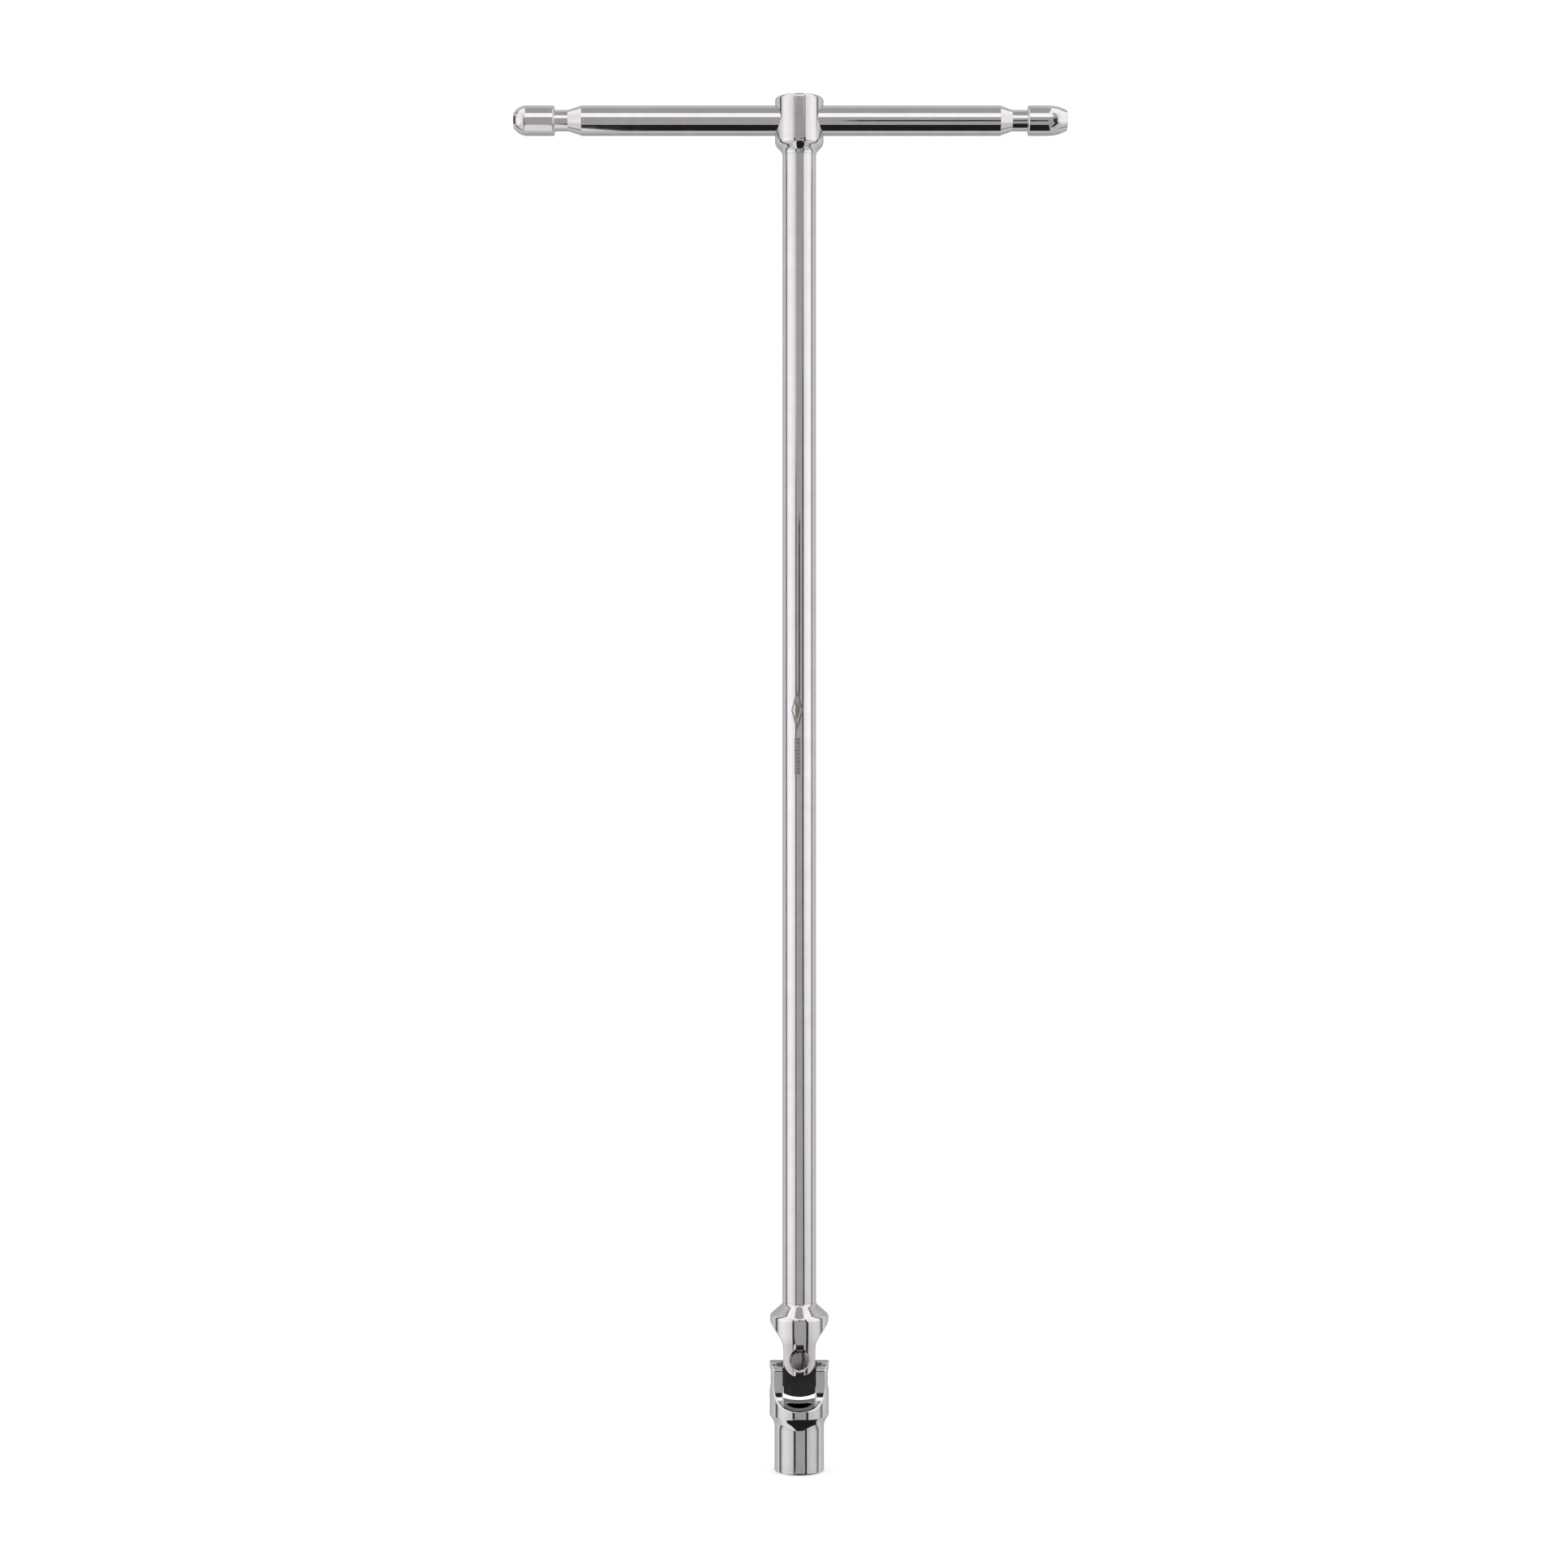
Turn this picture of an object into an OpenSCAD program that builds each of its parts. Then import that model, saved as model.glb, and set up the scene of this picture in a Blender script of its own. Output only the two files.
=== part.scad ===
// T-handle socket wrench with a sliding crossbar and a universal joint above its hex socket.
// Frame: origin at the centre of the socket's mouth, +Z up along the shank, X along the crossbar.

/* [Crossbar] */
// Diameter of the crossbar
bar_d = 9.2; // [8.6:0.1:9.6]
// Length of the crossbar
bar_len = 170; // [140:1:200]
// Where the middle of the crossbar stands along X
bar_offset = -2.75; // [-30:0.25:30]
// Diameter of the detent neck near each end
neck_d = 6.5; // [6:0.1:7.5]
// Length of the left knob, outside the neck
left_knob_len = 12.6; // [10:0.1:16]
// Length of the left neck
left_neck_len = 4.2; // [3.5:0.1:6]
// Length of the cone inside the left neck
left_cone_len = 4.2; // [2:0.1:6]
// Length of the right knob, outside the neck
right_knob_len = 12.1; // [10:0.1:16]
// Length of the right neck
right_neck_len = 4.8; // [3.5:0.1:6]
// Length of the cone inside the right neck
right_cone_len = 3.7; // [2:0.1:6]

/* [Head and shank] */
// Height of the crossbar's axis above the socket's mouth
bar_z = 414.3; // [300:0.1:500]
// Diameter of the head that holds the crossbar
hub_d = 15; // [14:0.1:17]
// Height of the head above the crossbar's axis
hub_rise = 7; // [6.5:0.1:9]
// Depth of the head below the crossbar's axis, down to the shank
hub_drop = 10.9; // [10:0.1:13]
// Diameter of the shank
shank_d = 10.4; // [10:0.1:10.8]

/* [Detent] */
// Diameter of the detent ball
ball_d = 5; // [4.6:0.1:5.2]
// Length of the bore for the ball's spring, measured down from the top of the shank
detent_bore_len = 14; // [12:0.5:20]
// Wire diameter of the detent spring
spring_wire = 0.6; // [0.4:0.05:0.8]
// Number of turns of the detent spring
spring_turns = 7; // [4:1:9]

/* [Universal joint] */
// Diameter over the two forks
joint_d = 18.2; // [17.8:0.1:19]
// Height of the upper pin, which lies along Y
upper_pin_z = 35; // [34.5:0.1:36]
// Height of the lower pin, which lies along X
lower_pin_z = 28.5; // [28:0.1:29]
// Diameter of both pins
pin_d = 5.5; // [5:0.1:5.6]
// Width of the slot in each fork
slot_w = 9.9; // [9.4:0.1:10]
// Width of the block between the forks
block_w = 9.7; // [9.2:0.1:9.8]
// Width of an ear of the upper fork
upper_ear_w = 9.8; // [9:0.1:10]
// Thickness of an ear of the lower fork
lower_ear_w = 9; // [8:0.1:9.4]

/* [Socket] */
// Hex size across flats
hex_af = 10.1; // [10:0.05:10.2]
// Depth of the hex
hex_depth = 9; // [6:0.5:10]
// Outer diameter of the socket barrel
barrel_d = 15.2; // [14.6:0.1:16]

/* [Hidden] */
$fn = 96;
arc_steps = 10;

// Clearances and allowances
eps = 0.01;
run_gap = 0.05;
contact_gap = 0.02;
far = 40;

bar_r = bar_d / 2;
neck_r = neck_d / 2;
hub_r = hub_d / 2;
shank_r = shank_d / 2;
ball_r = ball_d / 2;
joint_r = joint_d / 2;
pin_r = pin_d / 2;
barrel_r = barrel_d / 2;

// Crossbar ends: [face radius, bevel radius, bevel length, length of the rounding behind it]
left_nose = [2.4, 3.45, 1, 4.5];
right_nose = [3.1, 4.2, 2.6, 5.2];
shoulder_round = 0.6;

// Head
hub_top_z = bar_z + hub_rise;
hub_seat_z = bar_z - hub_drop;
hub_top_round = 1;
hub_low_round = 2.6;
hub_fillet = 2.5;
hub_cone = 45;
bore_mouth_chamfer = 0.5;
spigot_r = 4;
spigot_len = 4.8;

// Detent: the ball stands just under the crossbar, on a spring in the top of the shank
detent_bore_r = ball_r + run_gap;
ball_z = bar_z - bar_r - ball_r - contact_gap;
detent_floor_z = hub_seat_z - detent_bore_len + spigot_len;
spring_r = ball_r - 0.6;
spring_sides = 6;
spring_turn_steps = 16;
spring_low_z = detent_floor_z + spring_wire / 2 + contact_gap;
spring_touch = (ball_r + spring_wire / 2 + run_gap) ^ 2 - spring_r ^ 2;
spring_high_z = ball_z - sqrt(spring_touch);

// Upper fork
fork_top_z = 51.75;
fork_cone = 48.5;
fork_edge_round = 1.8;
fork_top_fillet = 1.2;
waist_z = 38.35;
waist_round = 6.3;
waist_lean = 38;
hip_round = 3;
ear_taper_z = 41;
ear_taper_angle = 4;
slot_depth = 8.7;
slot_floor_round = 12;
fork_spigot_r = 3.5;
fork_spigot_len = 5;

// Pins and their holes
sink_depth = 0.6;
sink_slope = 50;
pin_inset = 0.3;
pin_edge = 0.25;

// Block: each end is rounded about the axis of the slot that it turns in
block_end = 5.1;
block_end_round = 11;

// Lower fork and socket
ear_end_r = 5.25;
scoop_r = 7.5;
scoop_low_z = 19.7;
body_low_z = 17.2;
step_cone_w = 0.9;
step_cone_h = 1.4;
barrel_fillet = 4.5;
mouth_edge = 0.6;
lead_in_r = 6.2;
lead_in_h = 0.9;
through_r = 4;

// Points of an arc round [x, y], from angle a0 to a1 in degrees
function arc(x, y, r, a0, a1) = [
    for (i = [0 : arc_steps])
        let (a = a0 + (a1 - a0) * i / arc_steps)
        [x + r * cos(a), y + r * sin(a)]
];

// Points of an arc from p to q that ends parallel to the axis; both points are [radius, length]
function easing_arc(p, q) =
    let (rise = q[0] - p[0])
    let (run = q[1] - p[1])
    let (r = (rise ^ 2 + run ^ 2) / (2 * rise))
    let (a = asin(run / r))
    arc(q[0] - r, q[1], r, -a, 0);

// One end of the crossbar, as [radius, distance from the end face]
function bar_end(nose, knob_len, neck_len, cone_len) = concat(
    [[0, 0], [nose[0], 0]],
    easing_arc([nose[1], nose[2]], [bar_r, nose[3]]),
    arc(bar_r - shoulder_round, knob_len - shoulder_round, shoulder_round, 0, 90),
    [[neck_r, knob_len], [neck_r, knob_len + neck_len], [bar_r, knob_len + neck_len + cone_len]]
);

// A list in the opposite order
function reversed(list) = [for (i = [len(list) - 1 : -1 : 0]) list[i]];

// How far an ear of the upper fork falls inside the turned radius at height z
function ear_taper(z) = (ear_taper_z - z) * tan(ear_taper_angle);

// Radius of the upper fork at its pin
upper_pin_face = joint_r - ear_taper(upper_pin_z);

// Half outline [x, z] of the upper fork seen along Y: round ear, waist and hips
function upper_outline() =
    let (ear_r = upper_ear_w / 2)
    let (waist_out = waist_round * (1 - cos(waist_lean)))
    let (hip_in = hip_round * (1 - cos(waist_lean)))
    let (slope_x = joint_r - hip_in - ear_r - waist_out)
    let (hip_z = waist_z + waist_round * sin(waist_lean) + slope_x / tan(waist_lean)
        + hip_round * sin(waist_lean))
    concat(
        arc(0, upper_pin_z, ear_r, -90, 0),
        arc(ear_r + waist_round, waist_z, waist_round, 180, 180 - waist_lean),
        arc(joint_r - hip_round, hip_z, hip_round, -waist_lean, 0),
        [[joint_r, fork_top_z + 1], [0, fork_top_z + 1]]
    );

// Half outline [y, z] of the lower fork seen along X: body, scoop and round ear
function lower_outline() =
    let (ear_half = lower_ear_w / 2)
    let (scoop_y = ear_half + scoop_r)
    let (scoop_a = acos((scoop_y - joint_r) / scoop_r))
    let (scoop_z = scoop_low_z + scoop_r * sin(scoop_a))
    let (end_a = acos(ear_half / ear_end_r))
    concat(
        [[0, -1], [joint_r + 1, -1], [joint_r + 1, scoop_low_z]],
        arc(scoop_y, scoop_z, scoop_r, 180 + scoop_a, 180),
        arc(0, lower_pin_z, ear_end_r, end_a, 90)
    );

// A half outline and its mirror image as one plate, which runs along Y
module both_sides(outline) {
    other_side = [for (p = reversed(outline)) if (p[0] > eps) [-p[0], p[1]]];
    rotate([90, 0, 0])
        linear_extrude(height = 2 * far, center = true)
            polygon(concat(outline, other_side));
}

// The slot of a fork, open towards +Z and running along Y, with its floor's lowest line at z = 0
module fork_slot() {
    rotate([90, 0, 0])
        linear_extrude(height = 2 * far, center = true)
            intersection() {
                translate([0, slot_floor_round]) circle(r = slot_floor_round);
                translate([-slot_w / 2, 0]) square([slot_w, slot_floor_round]);
            }
    translate([-slot_w / 2, -far, slot_floor_round / 2])
        cube([slot_w, 2 * far, far]);
}

// A pin's hole along Z through a fork, with a shallow sink at each end; face_r is the fork's radius there
module pin_hole(face_r) {
    cylinder(r = pin_r, h = 2 * far, center = true);
    for (side = [0, 1])
        mirror([0, 0, side])
            translate([0, 0, face_r - sink_depth])
                cylinder(r1 = pin_r, r2 = pin_r + 2 * sink_depth * tan(sink_slope), h = 2 * sink_depth);
}

// A pin along Z, with its two edges broken, for a hole in a fork of radius face_r
module fork_pin(face_r) {
    half = face_r - pin_inset;
    rotate_extrude()
        polygon([
            [0, -half], [pin_r - pin_edge, -half], [pin_r, pin_edge - half],
            [pin_r, half - pin_edge], [pin_r - pin_edge, half], [0, half]
        ]);
}

module t_bar() {
    left = bar_end(left_nose, left_knob_len, left_neck_len, left_cone_len);
    right = bar_end(right_nose, right_knob_len, right_neck_len, right_cone_len);
    profile = concat(
        [for (p = left) [p[0], p[1] - bar_len / 2]],
        [for (p = reversed(right)) [p[0], bar_len / 2 - p[1]]]
    );
    color("silver")
        translate([bar_offset, 0, bar_z])
            rotate([0, 90, 0])
                rotate_extrude() polygon(profile);
}

// Head: a short post with a cone below, cross bored for the crossbar and bored from below for the detent
module hub() {
    low_z = hub_seat_z;
    cone_z = low_z + hub_fillet * sin(hub_cone);
    cone_r = shank_r + hub_fillet * (1 - cos(hub_cone));
    round_r = hub_r - hub_low_round * (1 - cos(hub_cone));
    round_z = cone_z + (round_r - cone_r) / tan(hub_cone) + hub_low_round * sin(hub_cone);
    mouth_h = 2 * bore_mouth_chamfer;
    profile = concat(
        [[0, low_z]],
        arc(shank_r + hub_fillet, low_z, hub_fillet, 180, 180 - hub_cone),
        arc(hub_r - hub_low_round, round_z, hub_low_round, -hub_cone, 0),
        arc(hub_r - hub_top_round, hub_top_z - hub_top_round, hub_top_round, 0, 90),
        [[0, hub_top_z]]
    );
    color("silver")
        difference() {
            rotate_extrude() polygon(profile);
            translate([0, 0, bar_z])
                rotate([0, 90, 0]) {
                    cylinder(r = bar_r + run_gap, h = 2 * far, center = true);
                    for (side = [0, 1])
                        mirror([0, 0, side])
                            translate([0, 0, hub_r - bore_mouth_chamfer])
                                cylinder(r1 = bar_r, r2 = bar_r + mouth_h, h = mouth_h);
                }
            translate([0, 0, low_z - eps]) cylinder(r = spigot_r, h = spigot_len + eps);
            translate([0, 0, low_z]) cylinder(r = detent_bore_r, h = bar_z - low_z);
        }
}

// Shank: a plain round rod with a turned-down spigot at each end and the detent bore in its top
module shank() {
    color("silver")
        difference() {
            union() {
                translate([0, 0, fork_top_z]) cylinder(r = shank_r, h = hub_seat_z - fork_top_z);
                translate([0, 0, hub_seat_z - eps]) cylinder(r = spigot_r, h = spigot_len + eps);
                translate([0, 0, fork_top_z - fork_spigot_len])
                    cylinder(r = fork_spigot_r, h = fork_spigot_len + eps);
            }
            translate([0, 0, detent_floor_z]) cylinder(r = detent_bore_r, h = far);
        }
}

module detent_ball() {
    color("gray")
        translate([0, 0, ball_z]) sphere(r = ball_r);
}

// Spring: a round wire swept along a helix of constant pitch
module detent_spring() {
    steps = spring_turns * spring_turn_steps;
    rise = spring_high_z - spring_low_z;
    wire_r = spring_wire / 2;
    points = [
        for (i = [0 : steps])
            let (turn = 360 * i / spring_turn_steps)
            let (z = spring_low_z + rise * i / steps)
            for (k = [0 : spring_sides - 1])
                let (side = 360 * k / spring_sides)
                let (r = spring_r + wire_r * cos(side))
                [r * cos(turn), r * sin(turn), z + wire_r * sin(side)]
    ];
    walls = [
        for (i = [0 : steps - 1])
            for (k = [0 : spring_sides - 1])
                let (here = i * spring_sides)
                let (next = (k + 1) % spring_sides)
                [here + k, here + spring_sides + k, here + spring_sides + next, here + next]
    ];
    first_cap = [for (k = [0 : spring_sides - 1]) k];
    last_cap = [for (k = [spring_sides - 1 : -1 : 0]) steps * spring_sides + k];
    color("dimgray")
        polyhedron(points = points, faces = concat(walls, [first_cap, last_cap]));
}

// Upper fork: a turned cone and body, milled to a waist at the sides and slotted along X
module yoke() {
    fillet_r = shank_r + fork_top_fillet * (1 - cos(fork_cone));
    fillet_z = fork_top_z - fork_top_fillet * sin(fork_cone);
    edge_r = joint_r - fork_edge_round * (1 - cos(fork_cone));
    edge_z = fillet_z - (edge_r - fillet_r) / tan(fork_cone) - fork_edge_round * sin(fork_cone);
    low_z = upper_pin_z - upper_ear_w / 2 - 1;
    tip_r = joint_r - ear_taper(low_z);
    profile = concat(
        [[0, low_z], [tip_r, low_z], [joint_r, ear_taper_z]],
        arc(joint_r - fork_edge_round, edge_z, fork_edge_round, 0, fork_cone),
        arc(shank_r + fork_top_fillet, fork_top_z, fork_top_fillet, 180 + fork_cone, 180),
        [[0, fork_top_z]]
    );
    color("silver")
        difference() {
            intersection() {
                rotate_extrude() polygon(profile);
                both_sides(upper_outline());
            }
            translate([0, 0, upper_pin_z + slot_depth])
                rotate([180, 0, 90]) fork_slot();
            translate([0, 0, upper_pin_z])
                rotate([90, 0, 0]) pin_hole(upper_pin_face);
            translate([0, 0, fork_top_z - fork_spigot_len])
                cylinder(r = fork_spigot_r, h = far);
        }
}

module yoke_pin() {
    color("rosybrown")
        translate([0, 0, upper_pin_z])
            rotate([90, 0, 0]) fork_pin(upper_pin_face);
}

// Half of the block's outline [x, z], from the middle of the block down to its rounded end
module block_outline() {
    low = -block_end;
    intersection() {
        translate([0, low + block_end_round]) circle(r = block_end_round);
        translate([-block_w / 2, low]) square([block_w, block_end_round]);
    }
}

// Block: a square bar with two crossed pin holes, one above the other
module cross_block() {
    color("dimgray")
        difference() {
            intersection() {
                translate([0, 0, lower_pin_z])
                    rotate([90, 0, 0])
                        linear_extrude(height = block_w, center = true)
                            union() {
                                block_outline();
                                translate([-block_w / 2, 0]) square([block_w, far]);
                            }
                translate([0, 0, upper_pin_z])
                    rotate([90, 180, 90])
                        linear_extrude(height = block_w, center = true)
                            union() {
                                block_outline();
                                translate([-block_w / 2, 0]) square([block_w, far]);
                            }
            }
            translate([0, 0, upper_pin_z])
                rotate([90, 0, 0]) cylinder(r = pin_r + run_gap, h = far, center = true);
            translate([0, 0, lower_pin_z])
                rotate([0, 90, 0]) cylinder(r = pin_r + run_gap, h = far, center = true);
        }
}

module socket_pin() {
    color("rosybrown")
        translate([0, 0, lower_pin_z])
            rotate([0, 90, 0]) fork_pin(joint_r);
}

// Lower fork and hex socket: one turned blank, bored through, scooped front and back and slotted along Y
module socket() {
    cone_r = joint_r - step_cone_w;
    cone_z = body_low_z - step_cone_h;
    fillet_a = acos(1 - (cone_r - barrel_r) / barrel_fillet);
    fillet_z = cone_z - barrel_fillet * sin(fillet_a);
    ear_top_z = lower_pin_z + ear_end_r + 1;
    profile = concat(
        [[0, 0], [barrel_r - mouth_edge, 0], [barrel_r, mouth_edge]],
        arc(barrel_r + barrel_fillet, fillet_z, barrel_fillet, 180, 180 - fillet_a),
        [[joint_r, body_low_z], [joint_r, ear_top_z], [0, ear_top_z]]
    );
    color("silver")
        difference() {
            intersection() {
                rotate_extrude() polygon(profile);
                rotate([0, 0, 90]) both_sides(lower_outline());
            }
            translate([0, 0, lower_pin_z - slot_depth]) fork_slot();
            translate([0, 0, lower_pin_z])
                rotate([0, 90, 0]) pin_hole(joint_r);
            translate([0, 0, -eps])
                cylinder(d = hex_af / cos(30), h = hex_depth + eps, $fn = 6);
            translate([0, 0, -eps])
                cylinder(r1 = lead_in_r, r2 = lead_in_r - lead_in_h, h = lead_in_h);
            cylinder(r = through_r, h = lower_pin_z);
        }
}

t_bar();
hub();
shank();
detent_ball();
detent_spring();
yoke();
yoke_pin();
cross_block();
socket_pin();
socket();
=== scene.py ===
"""Looks of a T-handle socket wrench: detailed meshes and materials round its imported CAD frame.

Metres, in the CAD's own frame: origin at the centre of the socket's mouth, +Z up along the shank,
X along the crossbar.
"""
import math

import bpy
import numpy as np
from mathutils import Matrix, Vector


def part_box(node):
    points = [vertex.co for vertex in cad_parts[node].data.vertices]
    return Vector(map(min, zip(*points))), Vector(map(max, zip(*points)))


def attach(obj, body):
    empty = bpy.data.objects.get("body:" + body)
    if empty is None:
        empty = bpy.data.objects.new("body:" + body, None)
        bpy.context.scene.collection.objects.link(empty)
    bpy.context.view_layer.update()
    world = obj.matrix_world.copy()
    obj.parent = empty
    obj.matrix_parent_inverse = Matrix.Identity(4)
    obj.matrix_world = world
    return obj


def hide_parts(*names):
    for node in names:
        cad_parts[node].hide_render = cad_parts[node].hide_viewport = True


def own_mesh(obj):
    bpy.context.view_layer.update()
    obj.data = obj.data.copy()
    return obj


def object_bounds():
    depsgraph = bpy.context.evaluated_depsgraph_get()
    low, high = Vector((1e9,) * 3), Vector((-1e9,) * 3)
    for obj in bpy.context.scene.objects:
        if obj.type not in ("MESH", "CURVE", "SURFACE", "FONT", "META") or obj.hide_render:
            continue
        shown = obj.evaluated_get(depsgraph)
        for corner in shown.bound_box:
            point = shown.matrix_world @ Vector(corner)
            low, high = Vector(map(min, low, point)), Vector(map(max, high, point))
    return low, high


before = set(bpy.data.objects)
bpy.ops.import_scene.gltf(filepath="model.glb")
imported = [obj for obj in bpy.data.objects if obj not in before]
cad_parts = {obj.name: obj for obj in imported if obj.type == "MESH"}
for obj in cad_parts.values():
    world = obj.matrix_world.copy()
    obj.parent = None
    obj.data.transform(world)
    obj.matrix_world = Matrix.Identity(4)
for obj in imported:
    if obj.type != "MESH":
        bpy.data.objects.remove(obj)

MM = 0.001
CAD_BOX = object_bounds()

# ---------------------------------------------------------------- places, from the frame
BAR_LOW, BAR_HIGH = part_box("t_bar")
HUB_LOW, HUB_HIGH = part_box("hub")
SHANK_LOW, SHANK_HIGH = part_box("shank")
YOKE_LOW, YOKE_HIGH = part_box("yoke")
SOCKET_LOW, SOCKET_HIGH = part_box("socket")
BLOCK_LOW, BLOCK_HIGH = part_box("cross_block")
UPPER_PIN_LOW, UPPER_PIN_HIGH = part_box("yoke_pin")
LOWER_PIN_LOW, LOWER_PIN_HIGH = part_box("socket_pin")
SPRING_LOW, SPRING_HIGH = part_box("detent_spring")

BAR_Z = (BAR_LOW.z + BAR_HIGH.z) / 2
BAR_R = (BAR_HIGH.z - BAR_LOW.z) / 2
HUB_R = (HUB_HIGH.x - HUB_LOW.x) / 2
SHANK_R = (SHANK_HIGH.x - SHANK_LOW.x) / 2
JOINT_R = (SOCKET_HIGH.x - SOCKET_LOW.x) / 2
PIN_R = (UPPER_PIN_HIGH.x - UPPER_PIN_LOW.x) / 2
UPPER_PIN_Z = (UPPER_PIN_LOW.z + UPPER_PIN_HIGH.z) / 2
LOWER_PIN_Z = (LOWER_PIN_LOW.z + LOWER_PIN_HIGH.z) / 2
BLOCK_HALF = (BLOCK_HIGH.x - BLOCK_LOW.x) / 2

# ---------------------------------------------------------------- sizes that boxes don't give
EDGE = 0.3 * MM
FINE_EDGE = 0.12 * MM
FIT_GAP = 0.05 * MM
SPIGOT_LEN = 4.8 * MM
SPIGOT_R = 4 * MM
FORK_SPIGOT_LEN = 5 * MM
FORK_SPIGOT_R = 3.5 * MM
DETENT_BORE_R = 2.55 * MM
SLOT_HALF = 4.95 * MM
SLOT_DEPTH = 8.7 * MM
SLOT_FLOOR_R = 12 * MM
SINK_DEPTH = 0.6 * MM
SINK_SLOPE = math.radians(50)
FORK_CONE = math.radians(48.5)
BLOCK_END_R = 11 * MM
HALF_RIGHT_ANGLE = math.radians(22.5)
ROOT_HALF = math.sqrt(0.5)


# ---------------------------------------------------------------- outlines
def rounded(corners):
    """Lines and arcs through (u, v) or (u, v, radius) corners; the ends stay where they are.

    A line is (start, end, None). An arc is (start, end, (centre, radius, first angle, sweep)).
    """
    points = [np.array(corner[:2], float) for corner in corners]
    pieces = []
    last = points[0]
    for before, point, after, corner in zip(points, points[1:], points[2:], corners[1:]):
        radius = corner[2] if len(corner) > 2 else 0
        back = (before - point) / np.linalg.norm(before - point)
        ahead = (after - point) / np.linalg.norm(after - point)
        half = math.acos(np.clip(back @ ahead, -1, 1)) / 2
        if radius == 0 or half > math.radians(89.9):
            pieces.append((last, point, None))
            last = point
            continue
        start = point + back * radius / math.tan(half)
        end = point + ahead * radius / math.tan(half)
        middle = (back + ahead) / np.linalg.norm(back + ahead)
        centre = point + middle * radius / math.sin(half)
        first = math.atan2(*(start - centre)[::-1])
        sweep = math.atan2(*(end - centre)[::-1]) - first
        sweep = (sweep + math.pi) % math.tau - math.pi
        pieces.append((last, start, None))
        pieces.append((start, end, (centre, radius, first, sweep)))
        last = end
    pieces.append((last, points[-1], None))
    return pieces


def outline_distance(pieces, u, v):
    """Distance to an outline that runs from the axis u = 0 out and back to it; below zero inside."""
    nearest = np.full(u.shape, np.inf)
    inside = np.zeros(u.shape, bool)
    for (u0, v0), (u1, v1), bend in pieces:
        du, dv = u1 - u0, v1 - v0
        beside = (v0 > v) != (v1 > v)
        if bend is None:
            length = max(du * du + dv * dv, 1e-18)
            along = np.clip(((u - u0) * du + (v - v0) * dv) / length, 0, 1)
            away = np.hypot(u - u0 - along * du, v - v0 - along * dv)
            edge = u0 + (v - v0) * du / (dv if abs(dv) > 1e-15 else 1)
        else:
            (cu, cv), radius, first, sweep = bend
            middle = first + sweep / 2
            reach = np.hypot(u - cu, v - cv)
            facing = (u - cu) * math.cos(middle) + (v - cv) * math.sin(middle)
            within = facing >= reach * math.cos(sweep / 2)
            away = np.where(within, np.abs(reach - radius), np.inf)
            side = 1 if math.cos(middle) > 0 else -1
            edge = cu + side * np.sqrt(np.clip(radius ** 2 - (v - cv) ** 2, 0, None))
        nearest = np.minimum(nearest, away)
        inside ^= beside & (u < edge)
    return np.where(inside, -nearest, nearest)


def outline_samples(pieces, arc_step):
    """(u, v, normal u, normal v) along an outline that keeps its inside on the left."""
    samples = []
    for start, end, bend in pieces:
        if bend is None:
            length = np.linalg.norm(end - start)
            if length < 1e-9:
                continue
            normal = (end - start)[::-1] * (1, -1) / length
            samples += [(*start, *normal), (*end, *normal)]
            continue
        centre, radius, first, sweep = bend
        steps = max(3, math.ceil(abs(sweep) / arc_step))
        for i in range(steps + 1):
            angle = first + sweep * i / steps
            out = np.array([math.cos(angle), math.sin(angle)])
            samples.append((*(centre + out * radius), *(out * math.copysign(1, sweep))))
    kept = [samples[0]]
    for sample in samples[1:]:
        if math.dist(sample[:2], kept[-1][:2]) > 1e-8:
            kept.append(sample)
    return kept


# ---------------------------------------------------------------- solids as distances
def meet(a, b, radius):
    """What two solids share, with the edge between them rounded off."""
    ends = np.hypot(np.maximum(a + radius, 0), np.maximum(b + radius, 0))
    return np.minimum(np.maximum(a, b), -radius) + ends


def join(a, b, radius):
    """Two solids together, with a fillet between them."""
    return -meet(-a, -b, radius)


def cut(a, b, radius):
    """Solid a without solid b, with a rounded edge round the cut."""
    return meet(a, -b, radius)


def slot(across, depth, edge):
    """A fork's slot: walls at SLOT_HALF, and a floor that is an arc about an axis along the slot.

    depth grows from the floor's lowest line out of the slot's mouth.
    """
    floor = np.hypot(across, np.maximum(SLOT_FLOOR_R - depth, 0)) - SLOT_FLOOR_R
    return meet(np.abs(across) - SLOT_HALF, floor, edge)


def pin_hole(along, off_axis, face_r):
    """A pin's hole with a shallow sink at each end; face_r is the fork's radius there."""
    rise = np.abs(along) - face_r + SINK_DEPTH
    sink = (off_axis - PIN_R) * math.cos(SINK_SLOPE) - rise * math.sin(SINK_SLOPE)
    return join(off_axis - PIN_R, sink, FINE_EDGE)


# ---------------------------------------------------------------- meshes
def mesh_object(name, verts, faces, normals=None):
    """A smooth-shaded object from vertices and faces, with given vertex normals if there are any."""
    mesh = bpy.data.meshes.new(name)
    mesh.from_pydata([tuple(v) for v in verts], [], [tuple(f) for f in faces])
    mesh.shade_smooth()
    mesh.update()
    if normals is not None:
        mesh.normals_split_custom_set_from_vertices([tuple(n) for n in normals])
    made = bpy.data.objects.new(name, mesh)
    bpy.context.scene.collection.objects.link(made)
    return made


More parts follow.
